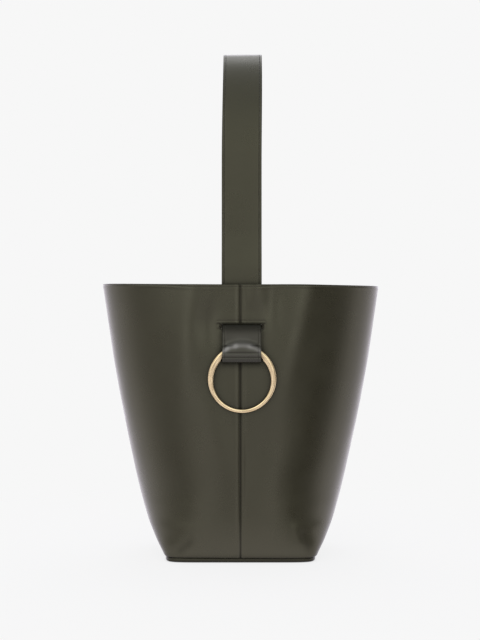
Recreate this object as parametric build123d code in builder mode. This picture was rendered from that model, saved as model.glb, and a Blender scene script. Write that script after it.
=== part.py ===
from build123d import *
import os
from math import atan2, cos, degrees, hypot, radians, sin, sqrt

# Bucket bag of smooth leather. Millimetres, +Z up, the front faces -Y, and the origin is the
# middle of the footprint. Two leather panels, seamed down the middle of the front and of the
# back, stand on a base panel with a turned-up edge. One wide strap of two plies runs over the
# mouth, down inside the bag, and out through a slot in the front and in the back, where each
# end is folded over a ring that is wider than the slot.

os.makedirs("parts", exist_ok=True)

# ---- driving dimensions ----
RIM_HEIGHT = 281.0
BASE_EDGE_HEIGHT = 4.5

LEATHER = 1.8
TAPE = 1.2
LINING = 0.8
LAYER_GAP = 0.05
FACING_HEIGHT = 30.0

STRAP_WIDTH = 40.0
STRAP_PLY = 1.8
STRAP_APEX_HEIGHT = 526.0

SLOT_WIDTH = 48.0
SLOT_HEIGHT = 6.0
SLOT_CENTRE_Z = 238.0

RING_OUTER_RADIUS = 34.2
RING_INNER_RADIUS = 28.9
RING_HOLE_DROP = 1.7
RING_THICKNESS = 3.2
RING_EDGE_ROUND = 0.9
RING_LEAN = 3.5

# The bag's outline, station by station up the wall: height, half width, half depth, and the
# radii of the front and back, of the sides, and of the four corners. It turns from a box with
# tight corners at the base into an oval at the rim.
STATIONS = (
    (BASE_EDGE_HEIGHT, 78.0, 66.4, 420.0, 380.0, 10.0),
    (14.0, 84.0, 69.6, 400.0, 300.0, 14.0),
    (32.0, 92.8, 72.8, 370.0, 220.0, 23.0),
    (60.0, 101.6, 74.2, 330.0, 160.0, 32.0),
    (110.0, 113.2, 75.0, 300.0, 125.0, 42.0),
    (170.0, 126.4, 75.3, 290.0, 105.0, 47.0),
    (225.0, 136.2, 75.2, 290.0, 92.0, 50.0),
    (RIM_HEIGHT, 144.9, 75.0, 300.0, 84.0, 50.0),
)

# Soft pieces inside the wall and on it.
LINING_SLOT_MARGIN = 1.0
WELT_HEIGHT = 0.7
WELT_WIDTH = 1.8
BASE_BOTTOM_ROUND = 1.5
BOARD_THICKNESS = 2.2
BOARD_MARGIN = 0.6
BASE_LINING_MARGIN = 0.4
SEAM_TAPE_HALF_WIDTH = 9.0
SEAM_TAPE_BOTTOM = 8.0
PATCH_HALF_WIDTH = 32.0
PATCH_BOTTOM = 216.0

# The strap over the mouth is two upright legs, two long arcs and a tight cap. Its foot laps the
# strap's end inside the bag, and turns beside it about SWAY_HEIGHT.
LEG_OUTER_Y = 66.0
LEG_ARC_RADIUS = 140.0
CAP_RADIUS = 20.0
SWAY_HEIGHT = 300.0
FOOT_ROUND = STRAP_WIDTH / 2 - 0.1

# The strap's ends in and through the slots, and the tabs folded round the rings.
END_MIDDLE_Y = 68.2
END_TOP = SWAY_HEIGHT + 10.0
END_BEND = 4.0
TAB_THICKNESS = 4.0
TAB_WALL_GAP = 0.4
LOOP_ROOM_Y = 6.8
LOOP_ROOM_Z = 17.2
LOOP_ROOM_ROUND = 3.0
LOOP_Z = 212.8

# ---- dimensions worked out from them ----
WALL_AT_SLOT = 75.2
TAPE_OUTSIDE = LEATHER + LAYER_GAP
TAPE_INSIDE = TAPE_OUTSIDE + TAPE
LINING_OUTSIDE = TAPE_INSIDE + LAYER_GAP
LINING_INSIDE = LINING_OUTSIDE + LINING
FACING_BOTTOM = RIM_HEIGHT - FACING_HEIGHT
STRAP_THICKNESS = 2 * STRAP_PLY
LINING_BOTTOM = BASE_EDGE_HEIGHT + LINING + 0.2
LINING_TOP = FACING_BOTTOM - 0.2
PATCH_TOP = FACING_BOTTOM - 0.5
SEAM_TAPE_TOP = PATCH_BOTTOM - 0.5
WELT_X = SLOT_WIDTH / 2 + WELT_WIDTH
WELT_Z = SLOT_HEIGHT / 2 + WELT_WIDTH
FOOTPRINT = (0.0, *STATIONS[0][1:])
FOOT_HEIGHT = SWAY_HEIGHT - STRAP_WIDTH / 2
END_OUT_Y = WALL_AT_SLOT + 0.2
HINGE_Y = WALL_AT_SLOT + WELT_HEIGHT + 0.5 + TAB_THICKNESS / 2
HINGE_Z = SLOT_CENTRE_Z - 1.0
LOOP_Y = WALL_AT_SLOT + TAB_WALL_GAP + LEATHER + LOOP_ROOM_Y / 2
LOOP_TOP_Z = LOOP_Z + LOOP_ROOM_Z / 2 + LEATHER / 2
BIG = 400.0

# ---- the wall's layers ----


def corner_centre(half_width, half_depth, front_radius, side_radius, corner_radius):
    """The centre of the corner arc that is tangent, from inside, to the front's arc and the side's."""
    front_centre = Vector(0, half_depth - front_radius)
    side_centre = Vector(half_width - side_radius, 0)
    to_front = front_radius - corner_radius
    to_side = side_radius - corner_radius
    apart = (side_centre - front_centre).length
    along = (to_front**2 - to_side**2 + apart**2) / (2 * apart)
    across = sqrt(to_front**2 - along**2)
    way = (side_centre - front_centre).normalized()
    return front_centre + way * along + Vector(way.Y, -way.X) * across


def outline(inset, height, half_width, half_depth, front_radius, side_radius, corner_radius):
    """The bag's outline at one height, moved inwards by inset: eight arcs, each tangent to the next."""
    centre = corner_centre(half_width, half_depth, front_radius, side_radius, corner_radius)
    front_turn = degrees(atan2(centre.X, centre.Y + front_radius - half_depth))
    side_turn = degrees(atan2(centre.Y, centre.X + side_radius - half_width))
    corner_turn = 90 - front_turn - side_turn
    with BuildSketch(Plane.XY.offset(height)) as drawn:
        with BuildLine():
            for turned in (0, 180):
                half = Rot(0, 0, turned)
                side = (half_width - side_radius, 0)
                back = (0, half_depth - front_radius)
                right = (centre.X, centre.Y)
                left = (-centre.X, centre.Y)
                arcs = (
                    (side, side_radius, -side_turn, 2 * side_turn),
                    (right, corner_radius, side_turn, corner_turn),
                    (back, front_radius, 90 - front_turn, 2 * front_turn),
                    (left, corner_radius, 90 + front_turn, corner_turn),
                )
                for middle, radius, start, size in arcs:
                    add(half * CenterArc(middle, radius - inset, start, size, mode=Mode.PRIVATE))
        make_face()
    return drawn.sketch


def bag_shape(inset):
    """The whole bag as one solid, moved inwards by inset."""
    with BuildPart() as shape:
        loft([outline(inset, *station).face() for station in STATIONS], ruled=True)
    return shape.part


def block(low, high):
    """A block between two opposite corners."""
    with BuildPart() as made:
        with BuildSketch(Plane.XY.offset(low[2])):
            with Locations(((low[0] + high[0]) / 2, (low[1] + high[1]) / 2)):
                Rectangle(high[0] - low[0], high[1] - low[1])
        extrude(amount=high[2] - low[2])
    return made.part


def slot_cutter(margin=0.0):
    """A bar through the front and the back wall, where the strap's slots are cut."""
    with BuildPart() as cutter:
        with BuildSketch(Plane.XZ.offset(-BIG / 2)):
            with Locations((0, SLOT_CENTRE_Z)):
                RectangleRounded(SLOT_WIDTH + 2 * margin, SLOT_HEIGHT + 2 * margin, SLOT_HEIGHT / 3)
        extrude(amount=BIG)
    return cutter.part


outer_shape = bag_shape(0)
under_leather = bag_shape(TAPE_OUTSIDE)
slots = slot_cutter()

with BuildPart() as leather_layer:
    add(outer_shape)
    add(bag_shape(LEATHER), mode=Mode.SUBTRACT)
    add(slots, mode=Mode.SUBTRACT)

with BuildPart() as tape_layer:
    add(under_leather)
    add(bag_shape(TAPE_INSIDE), mode=Mode.SUBTRACT)
    add(slots, mode=Mode.SUBTRACT)

with BuildPart() as lining_layer:
    add(bag_shape(LINING_OUTSIDE))
    add(bag_shape(LINING_INSIDE), mode=Mode.SUBTRACT)
    add(slot_cutter(LINING_SLOT_MARGIN), mode=Mode.SUBTRACT)

with BuildPart() as welt_layer:
    add(bag_shape(-WELT_HEIGHT))
    add(outer_shape, mode=Mode.SUBTRACT)
    add(slots, mode=Mode.SUBTRACT)

# ---- outer leather ----

with BuildPart() as body_panel_left:
    add(leather_layer.part)
    split(bisect_by=Plane.YZ, keep=Keep.BOTTOM)
body_panel_left.part.label = "body_panel_left"
export_step(body_panel_left.part, "parts/body_panel_left.step")

with BuildPart() as body_panel_right:
    add(leather_layer.part)
    split(bisect_by=Plane.YZ, keep=Keep.TOP)
body_panel_right.part.label = "body_panel_right"
export_step(body_panel_right.part, "parts/body_panel_right.step")

with BuildPart() as base_panel:
    extrude(outline(0, *FOOTPRINT), amount=BASE_EDGE_HEIGHT)
    fillet(base_panel.faces().sort_by(Axis.Z)[0].edges(), BASE_BOTTOM_ROUND)
    extrude(Pos(0, 0, LEATHER) * outline(LEATHER, *FOOTPRINT), amount=BASE_EDGE_HEIGHT, mode=Mode.SUBTRACT)
base_panel.part.label = "base_panel"
export_step(base_panel.part, "parts/base_panel.step")

# ---- what the wall and the base hold inside ----

with BuildPart() as base_board:
    extrude(Pos(0, 0, LEATHER) * outline(LEATHER + BOARD_MARGIN, *FOOTPRINT), amount=BOARD_THICKNESS)
base_board.part.label = "base_board"
export_step(base_board.part, "parts/base_board.step")

with BuildPart() as base_lining:
    extrude(outline(LEATHER + BASE_LINING_MARGIN, *STATIONS[0]), amount=LINING)
base_lining.part.label = "base_lining"
export_step(base_lining.part, "parts/base_lining.step")

with BuildPart() as lining_left:
    add(lining_layer.part)
    add(block((-BIG, -BIG, LINING_BOTTOM), (0, BIG, LINING_TOP)), mode=Mode.INTERSECT)
lining_left.part.label = "lining_left"
export_step(lining_left.part, "parts/lining_left.step")

with BuildPart() as lining_right:
    add(lining_layer.part)
    add(block((0, -BIG, LINING_BOTTOM), (BIG, BIG, LINING_TOP)), mode=Mode.INTERSECT)
lining_right.part.label = "lining_right"
export_step(lining_right.part, "parts/lining_right.step")

with BuildPart() as rim_facing:
    add(under_leather)
    add(bag_shape(LINING_INSIDE), mode=Mode.SUBTRACT)
    add(block((-BIG, -BIG, FACING_BOTTOM), (BIG, BIG, RIM_HEIGHT)), mode=Mode.INTERSECT)
rim_facing.part.label = "rim_facing"
export_step(rim_facing.part, "parts/rim_facing.step")

for side, near, far in (("front", -BIG, 0.0), ("back", 0.0, BIG)):
    with BuildPart() as seam_tape:
        add(tape_layer.part)
        tape_low = (-SEAM_TAPE_HALF_WIDTH, near, SEAM_TAPE_BOTTOM)
        tape_high = (SEAM_TAPE_HALF_WIDTH, far, SEAM_TAPE_TOP)
        add(block(tape_low, tape_high), mode=Mode.INTERSECT)
    seam_tape.part.label = f"{side}_seam_tape"
    export_step(seam_tape.part, f"parts/{side}_seam_tape.step")

    with BuildPart() as slot_patch:
        add(tape_layer.part)
        patch_low = (-PATCH_HALF_WIDTH, near, PATCH_BOTTOM)
        patch_high = (PATCH_HALF_WIDTH, far, PATCH_TOP)
        add(block(patch_low, patch_high), mode=Mode.INTERSECT)
    slot_patch.part.label = f"{side}_slot_patch"
    export_step(slot_patch.part, f"parts/{side}_slot_patch.step")

    # The welt is the bound lip that stands proud of the leather all round the slot.
    with BuildPart() as slot_welt:
        add(welt_layer.part)
        welt_low = (-WELT_X, near, SLOT_CENTRE_Z - WELT_Z)
        welt_high = (WELT_X, far, SLOT_CENTRE_Z + WELT_Z)
        add(block(welt_low, welt_high), mode=Mode.INTERSECT)
    slot_welt.part.label = f"{side}_slot_welt"
    export_step(slot_welt.part, f"parts/{side}_slot_welt.step")

# ---- the strap over the mouth ----

arc_centre_y = LEG_ARC_RADIUS - LEG_OUTER_Y
cap_centre_z = STRAP_APEX_HEIGHT - CAP_RADIUS
arc_rise = sqrt((LEG_ARC_RADIUS - CAP_RADIUS) ** 2 - arc_centre_y**2)
spring_height = cap_centre_z - arc_rise
leg_arc_angle = degrees(atan2(arc_rise, arc_centre_y))


def strap_side(depth):
    """One ply of the strap over the mouth, from the side, its middle at a depth under the outer face."""
    leg = LEG_OUTER_Y - depth
    leg_arc = LEG_ARC_RADIUS - depth
    with BuildSketch(Plane.YZ.offset(-STRAP_WIDTH / 2)) as drawn:
        with BuildLine():
            Line((-leg, FOOT_HEIGHT), (-leg, spring_height))
            CenterArc((arc_centre_y, spring_height), leg_arc, 180, -leg_arc_angle)
            CenterArc((0, cap_centre_z), CAP_RADIUS - depth, 180 - leg_arc_angle, 2 * leg_arc_angle - 180)
            CenterArc((-arc_centre_y, spring_height), leg_arc, leg_arc_angle, -leg_arc_angle)
            Line((leg, spring_height), (leg, FOOT_HEIGHT))
        trace(line_width=STRAP_PLY)
    return drawn.sketch


with BuildPart() as strap_outer:
    extrude(strap_side(STRAP_PLY / 2), amount=STRAP_WIDTH)
    fillet(strap_outer.edges().filter_by(Axis.Y).group_by(Axis.Z)[0], FOOT_ROUND)
strap_outer.part.label = "strap_outer"
export_step(strap_outer.part, "parts/strap_outer.step")

with BuildPart() as strap_inner:
    extrude(strap_side(STRAP_PLY * 3 / 2), amount=STRAP_WIDTH)
    fillet(strap_inner.edges().filter_by(Axis.Y).group_by(Axis.Z)[0], FOOT_ROUND)
strap_inner.part.label = "strap_inner"
export_step(strap_inner.part, "parts/strap_inner.step")

# ---- the strap's ends, the folded tabs and the rings ----

# The ring's arc fills the loop from its outer edge on the middle line down to its inner edge at
# the tab's sides. The ring swings about the middle of that height.
arc_low = sqrt(RING_INNER_RADIUS**2 - (STRAP_WIDTH / 2) ** 2) - RING_HOLE_DROP
ring_pivot_rise = (RING_OUTER_RADIUS + arc_low) / 2

for side, out in (("front", -1), ("back", 1)):
    with BuildPart() as strap_end:
        with BuildSketch(Plane.YZ.offset(-STRAP_WIDTH / 2)):
            with BuildLine():
                FilletPolyline(
                    (out * END_MIDDLE_Y, END_TOP),
                    (out * END_MIDDLE_Y, SLOT_CENTRE_Z),
                    (out * END_OUT_Y, SLOT_CENTRE_Z),
                    radius=END_BEND,
                )
            trace(line_width=STRAP_THICKNESS)
        extrude(amount=STRAP_WIDTH)
    strap_end.part.label = f"strap_{side}_end"
    export_step(strap_end.part, f"parts/strap_{side}_end.step")

    # From the side the tab is a tongue of two plies that hangs from the slot, with an open loop
    # at its lower end.
    tongue_run = LOOP_Y - HINGE_Y
    tongue_drop = HINGE_Z - LOOP_TOP_Z
    with BuildPart() as tab:
        with BuildSketch(Plane.YZ.offset(-STRAP_WIDTH / 2)):
            with Locations((out * (HINGE_Y + LOOP_Y) / 2, (HINGE_Z + LOOP_TOP_Z) / 2)):
                SlotCenterToCenter(
                    hypot(tongue_run, tongue_drop),
                    TAB_THICKNESS,
                    rotation=degrees(atan2(-tongue_drop, out * tongue_run)),
                )
            with Locations((out * LOOP_Y, LOOP_Z)):
                RectangleRounded(
                    LOOP_ROOM_Y + 2 * LEATHER, LOOP_ROOM_Z + 2 * LEATHER, LOOP_ROOM_ROUND + LEATHER
                )
                RectangleRounded(LOOP_ROOM_Y, LOOP_ROOM_Z, LOOP_ROOM_ROUND, mode=Mode.SUBTRACT)
        extrude(amount=STRAP_WIDTH)
    tab.part.label = f"{side}_tab"
    export_step(tab.part, f"parts/{side}_tab.step")

    # The ring hangs from the loop and leans back, so that its lower edge is next to the wall.
    lean = radians(RING_LEAN)
    centre_y = out * (LOOP_Y - ring_pivot_rise * sin(lean))
    centre_z = LOOP_Z - ring_pivot_rise * cos(lean)
    ring_plane = Plane((0, centre_y, centre_z), x_dir=(1, 0, 0), z_dir=(0, -cos(lean), out * sin(lean)))
    with BuildPart() as ring:
        with BuildSketch(ring_plane):
            Circle(RING_OUTER_RADIUS)
            with Locations((0, -RING_HOLE_DROP)):
                Circle(RING_INNER_RADIUS, mode=Mode.SUBTRACT)
        extrude(amount=RING_THICKNESS / 2, both=True)
        fillet(ring.edges().filter_by(GeomType.CIRCLE), RING_EDGE_ROUND)
    ring.part.label = f"{side}_ring"
    export_step(ring.part, f"parts/{side}_ring.step")
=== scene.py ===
import math

import bpy
import numpy as np
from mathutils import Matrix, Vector


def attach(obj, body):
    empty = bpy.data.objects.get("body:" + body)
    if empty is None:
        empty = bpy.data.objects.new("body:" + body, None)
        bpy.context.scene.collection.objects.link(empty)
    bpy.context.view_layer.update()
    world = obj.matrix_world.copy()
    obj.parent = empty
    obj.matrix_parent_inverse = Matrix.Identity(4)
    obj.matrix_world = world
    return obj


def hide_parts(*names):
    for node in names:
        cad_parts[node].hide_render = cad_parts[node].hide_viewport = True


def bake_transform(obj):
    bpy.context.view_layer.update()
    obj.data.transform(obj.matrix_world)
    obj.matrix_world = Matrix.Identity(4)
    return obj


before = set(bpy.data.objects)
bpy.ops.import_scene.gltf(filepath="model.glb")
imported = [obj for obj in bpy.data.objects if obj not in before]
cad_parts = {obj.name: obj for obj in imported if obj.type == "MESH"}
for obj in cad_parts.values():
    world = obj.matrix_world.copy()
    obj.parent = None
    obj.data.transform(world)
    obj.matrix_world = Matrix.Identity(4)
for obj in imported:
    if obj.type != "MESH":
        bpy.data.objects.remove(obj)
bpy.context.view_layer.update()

# Bucket bag of smooth olive leather. Lengths are millimetres, +Z up and the front facing -Y, up to
# the floor; add_mesh turns them into metres.
MM = 0.001

# ---- sizes ----
RIM, WALL_FOOT, FACING_FOOT = 281.0, 4.5, 251.0
# Depths of the layers under the wall's bare outer face.
LEATHER = 1.8
TAPE_OUT, TAPE_IN = 1.85, 3.05
LINING_OUT, LINING_IN = 3.1, 3.9
SLOT_Z, SLOT_HALF_HEIGHT = 238.65, 2.25
SLOT_LOW, SLOT_HIGH = SLOT_Z - SLOT_HALF_HEIGHT, SLOT_Z + SLOT_HALF_HEIGHT
SLOT_LEFT, SLOT_RIGHT = -20.9, 23.0
# The strap and the tabs stand a little to the right of the seams.
STRAP_X = 1.2
SIDES = (("front", -1), ("back", 1))
# A point of the wall farther out than this from the middle plane is on the front or the back.
FACE_Y = 60

# Height, half width, half depth and the power of the superellipse: a box with tight corners at
# the base, an oval at the rim.
PROFILE = np.array(
    [
        (0.0, 75.0, 65.4, 11.0),
        (5.0, 78.3, 66.8, 10.0),
        (10.0, 81.5, 68.4, 7.8),
        (19.0, 87.3, 71.0, 5.2),
        (37.0, 96.4, 73.4, 3.35),
        (60.0, 104.0, 74.2, 2.72),
        (110.0, 115.8, 75.0, 2.62),
        (160.0, 125.9, 75.3, 2.7),
        (205.0, 134.0, 75.3, 2.7),
        (245.0, 140.0, 75.2, 2.7),
        (282.0, 145.6, 75.0, 2.7),
    ]
)


def smooth(t):
    """0 below 0, 1 above 1, and a smooth step between."""
    t = np.clip(t, 0, 1)
    return t * t * (3 - 2 * t)


def circle(count):
    return np.linspace(0, 2 * math.pi, count + 1)[:-1]


def hill(x, width):
    """A rounded hill, 1 where x is 0."""
    return np.exp(-((x / width) ** 2))


def roll(distance, radius):
    """How far a surface has turned inwards at a distance from its rolled edge."""
    d = np.clip(distance, 0, radius)
    return radius - np.sqrt(np.maximum(radius**2 - (radius - d) ** 2, 0))


def profile(z, column):
    """One column of PROFILE at heights z, as a smooth curve through its rows."""
    xs, ys = PROFILE[:, 0], PROFILE[:, column]
    slopes = np.gradient(ys, xs)
    z = np.clip(np.asarray(z, float), xs[0], xs[-1] + 6)
    k = np.clip(np.searchsorted(xs, z) - 1, 0, len(xs) - 2)
    width = xs[k + 1] - xs[k]
    t = (z - xs[k]) / width
    low, high, slope_low, slope_high = ys[k], ys[k + 1], slopes[k], slopes[k + 1]
    inside = (
        (2 * t**3 - 3 * t**2 + 1) * low
        + (t**3 - 2 * t**2 + t) * width * slope_low
        + (3 * t**2 - 2 * t**3) * high
        + (t**3 - t**2) * width * slope_high
    )
    return np.where(t > 1, high + (z - xs[k + 1]) * slope_high, inside)


# ---- the wall as a surface ----
OUTLINE_SAMPLES = 1500


def half_outline(z):
    """From the front seam round to the back seam at height z: arc length, x and y."""
    a, b, n = (float(profile(z, k)) for k in (1, 2, 3))
    turn = np.linspace(0, math.pi, OUTLINE_SAMPLES)
    sin, cos = np.sin(turn), np.cos(turn)
    r = ((np.abs(sin) / a) ** n + (np.abs(cos) / b) ** n) ** (-1 / n)
    x, y = r * sin, -r * cos
    s = np.concatenate([[0], np.cumsum(np.hypot(np.diff(x), np.diff(y)))])
    return s, x, y


def wall_rows(shares, zs):
    """Points of the bare wall, by signed share of the half outline: 0 is the front seam, 1 or -1
    the back one."""
    made = np.empty((len(zs), shares.shape[1], 3))
    for i, z in enumerate(zs):
        s, x, y = half_outline(z)
        at = np.abs(shares[i]) * s[-1]
        made[i, :, 0] = np.sign(shares[i]) * np.interp(at, s, x)
        made[i, :, 1] = np.interp(at, s, y)
        made[i, :, 2] = z
    return made


def wall(columns, zs):
    """The bare wall on a grid: points, outward normals, distance to the nearer seam, and whether
    a point is on the front half. columns(length) gives signed distances for one row."""
    zs = np.asarray(zs, float)
    lengths = np.array([half_outline(z)[0][-1] for z in zs])
    at = np.array([columns(length) for length in lengths])
    shares = at / lengths[:, None]
    points = wall_rows(shares, zs)
    step = 0.4
    up = wall_rows(shares, zs + step) - wall_rows(shares, zs - step)
    nudge = 0.3 / lengths[:, None]
    inner = np.clip(shares, -1 + nudge, 1 - nudge)
    along = wall_rows(inner + nudge, zs) - wall_rows(inner - nudge, zs)
    normals = np.cross(along, up)
    normals /= np.linalg.norm(normals, axis=2)[:, :, None]
    from_front = np.abs(at)
    from_back = lengths[:, None] - from_front
    return points, normals, np.minimum(from_front, from_back), from_front < from_back


def rim_drop(x, front):
    """How far the rim stands above or below its nominal height."""
    to_side = 1.5 * (x / 140) ** 2
    right = 2.6 * smooth((x - 38) / 130)
    return np.where(front, to_side - right, to_side - 0.7 - right)


def crease_depth(x, front):
    """The creased line runs lower under the rim in the middle of the front, over the seam."""
    middle = smooth((x + 84) / 40) * (1 - smooth((x - 6) / 44))
    return 1.15 + np.where(front, 1.45, 0.3) * middle


def slot_gap(x, z):
    """How far a point of the front or the back is from its slot."""
    beside = np.maximum(np.maximum(x - SLOT_RIGHT, SLOT_LEFT - x), 0)
    return np.hypot(beside, np.maximum(np.abs(z - SLOT_Z) - SLOT_HALF_HEIGHT, 0))


def over_slot(x):
    """1 along the creased line over the slot, which is a little wider than the slot."""
    return smooth((x + 24.6) / 1.6) * smooth((26.0 - x) / 1.6)


def segment_hill(x, z, start, end, width):
    """A rounded ridge along a line from start to end in (x, z), fading at its ends."""
    (x0, z0), (x1, z1) = start, end
    dx, dz = x1 - x0, z1 - z0
    length = math.hypot(dx, dz)
    along = ((x - x0) * dx + (z - z0) * dz) / length
    across = ((x - x0) * dz - (z - z0) * dx) / length
    reach = smooth(along / (0.35 * length)) * smooth((length - along) / (0.35 * length))
    return reach * hill(across, width)


def swell(points, seam, front, zs):
    """Long shallow waves and dents of the whole wall, where the leather has been bent in use."""
    x = points[:, :, 0]
    z = np.broadcast_to(zs[:, None], x.shape)
    lean = np.where(front, 1.0, -0.8)
    out = lean * 1.6 * hill(x + 51 - 0.12 * (z - 240), 16) * smooth((z - 120) / 120)
    out += lean * 2.0 * hill(x - 58 - 0.24 * (z - 240), 18) * smooth((z - 110) / 110)
    out += -1.7 * hill(x + 34, 11) * hill(z - 240, 21) * lean
    out += 1.3 * hill(x - 15, 10) * smooth((z - 248) / 30) * lean
    out += -0.9 * hill(x - 33, 8) * hill(z - 262, 26) * lean
    out += -0.6 * hill(x + 88, 22) * smooth((z - 90) / 120)
    out += 0.8 * hill(x + 25 + 0.3 * (z - 130), 16) * hill(z - 130, 55) * lean
    out += -0.7 * hill(x - 22 - 0.2 * (z - 120), 14) * hill(z - 110, 45) * lean
    return out + 0.45 * np.sin(x / 31 + z / 70 + np.where(front, 0.4, 2.1)) * smooth(seam / 40)


def corner_creases(x, z, seam, front):
    """Creases that run up and inwards from the base's corners, and the ridges beside them."""
    run, ridge = np.zeros(x.shape), np.zeros(x.shape)
    for side, low, high in ((-1, (67, 7), (45, 26)), (1, (72, 7), (60, 40))):
        near = np.where(front, side, -side)
        mine = (near * x > 0) * (seam > 20)
        run += mine * segment_hill(near * x, z, low, high, 4.2)
        ridge += mine * segment_hill(near * x + 6.5, z - 3.5, low, high, 4.5)
    return run, ridge


def relief(points, seam, front, z):
    """How far the outer leather stands out from the bare wall."""
    x = points[:, :, 0]
    z = np.broadcast_to(z[:, None], x.shape)
    below_rim = RIM - z
    above_foot = z - WALL_FOOT
    out = -0.75 * hill(seam, 1.0) + 0.36 * hill(seam - 3.0, 1.4)
    out += -roll(above_foot, 0.7) + 0.15 * hill(above_foot - 2.2, 1.4)
    crease = crease_depth(x, front)
    out += -roll(below_rim, 0.7) - 0.42 * hill(below_rim - crease, 0.42)
    out += 0.14 * hill(below_rim - crease - 1.6, 0.9)
    out += 0.12 * hill(slot_gap(x, z) - 5.0, 2.2)
    groove = -0.45 * hill(z - 241.0, 0.45) + 0.2 * hill(z - 242.6, 0.7) - 0.2 * hill(z - 244.1, 0.6)
    out += over_slot(x) * groove
    out += -0.3 * hill(z - 236.1, 0.45) * smooth((x + 24) / 1.5) * smooth((-19.5 - x) / 1.5)
    # The tab has pressed its outline into the leather under it.
    pressed = smooth((z - 206) / 10) * smooth((236 - z) / 4)
    out += -0.14 * pressed * hill(np.abs(x - STRAP_X) - 20.6, 0.8)
    run, ridge = corner_creases(x, z, seam, front)
    return out - 0.75 * run + 0.45 * ridge


# ---- meshes ----


def add_mesh(name, points, faces, material, edge=None, sharp=(), painted_highlight=None):
    """A smooth-shaded mesh from points in millimetres. edge is 1 where the leather is darkened by
    edge paint, creased lines and painted shade, and wear is 1 where a pale highlight is painted."""
    mesh = bpy.data.meshes.new(name)
    metres = np.asarray(points, float).reshape(-1, 3) * MM
    mesh.from_pydata(metres.tolist(), [], faces)
    mesh.shade_smooth()
    if len(sharp):
        wanted = {tuple(sorted(pair)) for pair in sharp}
        flags = [tuple(sorted(e.vertices)) in wanted for e in mesh.edges]
        attribute = mesh.attributes.new("sharp_edge", "BOOLEAN", "EDGE")
        attribute.data.foreach_set("value", flags)
    for key, values in (("edge", edge), ("painted_highlight", painted_highlight)):
        shade = mesh.attributes.new(key, "FLOAT", "POINT")
        shade.data.foreach_set("value", np.zeros(len(mesh.vertices)) if values is None else values)
    mesh.materials.append(material)
    made = bpy.data.objects.new(name, mesh)
    bpy.context.scene.collection.objects.link(made)
    return made


def closed_grid(rows, cols, way):
    """The faces of a grid that joins up with itself both ways; way -1 is the front's direction."""
    faces = []
    for i in range(rows):
        for j in range(cols):
            a, b = i * cols + j, i * cols + (j + 1) % cols
            c, d = (i + 1) % rows * cols + (j + 1) % cols, (i + 1) % rows * cols + j
            faces.append((a, b, c, d) if way < 0 else (d, c, b, a))
    return faces


def shell(
    name, outer, inner, material, keep=None, wrap=False, edge=None, edge_sharp=True, painted_highlight=None
):
    """A closed solid between two grids of points: the outer face, the inner face, and the strips
    that join them wherever the grid ends or has a hole."""
    rows, cols = outer.shape[:2]
    count = rows * cols
    index = np.arange(count).reshape(rows, cols)
    right = np.roll(index, -1, axis=1) if wrap else index[:, 1:]
    left = index if wrap else index[:, :-1]
    quads = np.stack([left[:-1], right[:-1], right[1:], left[1:]], axis=2)
    if keep is not None:
        quads = quads[keep]
    quads = quads.reshape(-1, 4)
    ends = np.stack([quads, np.roll(quads, -1, axis=1)], axis=2).reshape(-1, 2)
    key = np.sort(ends, axis=1)
    key = key[:, 0] * count + key[:, 1]
    _, first, uses = np.unique(key, return_index=True, return_counts=True)
    border = ends[first[uses == 1]]
    start, end = border[:, 0], border[:, 1]
    walls = np.stack([end, start, start + count, end + count], axis=1)
    faces = np.concatenate([quads, quads[:, ::-1] + count, walls])
    used = np.unique(faces)
    renumber = np.full(2 * count, -1)
    renumber[used] = np.arange(len(used))
    points = np.concatenate([outer.reshape(-1, 3), inner.reshape(-1, 3)])[used]
    sharp = []
    if edge_sharp:
        sharp = np.concatenate([renumber[border], renumber[border + count]]).tolist()
    edge, painted_highlight = (v if v is None else np.tile(v.ravel(), 2)[used] for v in (edge, painted_highlight))
    return add_mesh(name, points, renumber[faces].tolist(), material, edge, sharp, painted_highlight)


# ---- materials ----


def node_tree(name):
    material = bpy.data.materials.new(name)
    material.use_nodes = True
    tree = material.node_tree
    return material, tree, tree.nodes["Principled BSDF"]


def feed(tree, node, inputs):
    """Sets a node's inputs, by name or number: an output is linked, anything else is its value."""
    for key, value in dict(inputs).items():
        if isinstance(value, bpy.types.NodeSocket):
            tree.links.new(value, node.inputs[key])
        else:
            node.inputs[key].default_value = value


def add_node(tree, kind, inputs=(), **settings):
    """A shader node with its settings and its inputs."""
    node = tree.nodes.new("ShaderNode" + kind)
    for key, value in settings.items():
        setattr(node, key, value)
    feed(tree, node, inputs)
    return node


def compute(tree, operation, *values):
    return add_node(tree, "Math", enumerate(values), operation=operation).outputs["Value"]


def vector_length(tree, vector):
    return add_node(tree, "VectorMath", {0: vector}, operation="LENGTH").outputs["Value"]


def mix(tree, factor, a, b, data_type="RGBA"):
    inputs = {"Factor": factor, "A": a, "B": b}
    return add_node(tree, "Mix", inputs, data_type=data_type).outputs["Result"]


def multiply(tree, colour, by):
    """A colour times a number at each point."""
    inputs = {"Factor": 1.0, "A": colour, "B": by}
    node = add_node(tree, "Mix", inputs, data_type="RGBA", blend_type="MULTIPLY")
    return node.outputs["Result"]


def ramp(tree, source, stops):
    """A colour ramp: stops are (position, linear colour)."""
    node = add_node(tree, "ValToRGB", {"Fac": source})
    while len(node.color_ramp.elements) < len(stops):
        node.color_ramp.elements.new(0.5)
    for element, (position, colour) in zip(node.color_ramp.elements, stops):
        element.position = position
        element.color = (*colour, 1)
    return node.outputs["Color"]


def grey_ramp(tree, source, stops):
    """A ramp whose stops are (position, brightness)."""
    return ramp(tree, source, [(at, (v, v, v)) for at, v in stops])


def scalar_range(tree, source, low, high, from_low=0.0, from_high=1.0):
    """A number brought from one range into another."""
    inputs = {"Value": source, "To Min": low, "To Max": high}
    inputs |= {"From Min": from_low, "From Max": from_high}
    return add_node(tree, "MapRange", inputs).outputs["Result"]


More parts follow.
